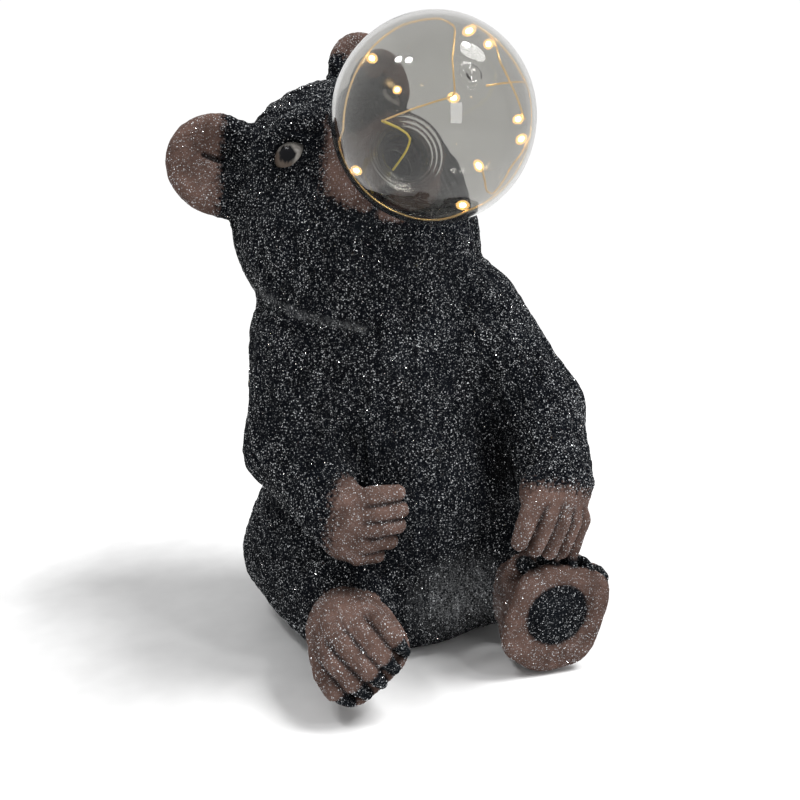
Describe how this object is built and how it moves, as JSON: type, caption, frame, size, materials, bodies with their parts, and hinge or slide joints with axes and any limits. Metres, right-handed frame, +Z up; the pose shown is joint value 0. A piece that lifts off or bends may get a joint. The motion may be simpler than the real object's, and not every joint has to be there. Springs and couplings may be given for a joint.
{
  "type": "bear garden statue",
  "caption": "Seated bear statue in glittered cast resin, head tilted back, with a clear light globe held in its mouth like a blown bubble.",
  "frame": {"origin": "centre of the bounding box at the underside", "axes": "+Z up, the bear faces -Y, +X towards the bear's left side"},
  "size_m": [0.2152, 0.2242, 0.3498],
  "materials": {
    "coat": "glittered black coat with brown ears, muzzle and paws, rough and sparkling",
    "globe": "clear thin blown globe, smooth and glossy"
  },
  "bodies": {
    "root": {"bear": "coat", "bubble_globe": "globe"}
  },
  "joints": []
}
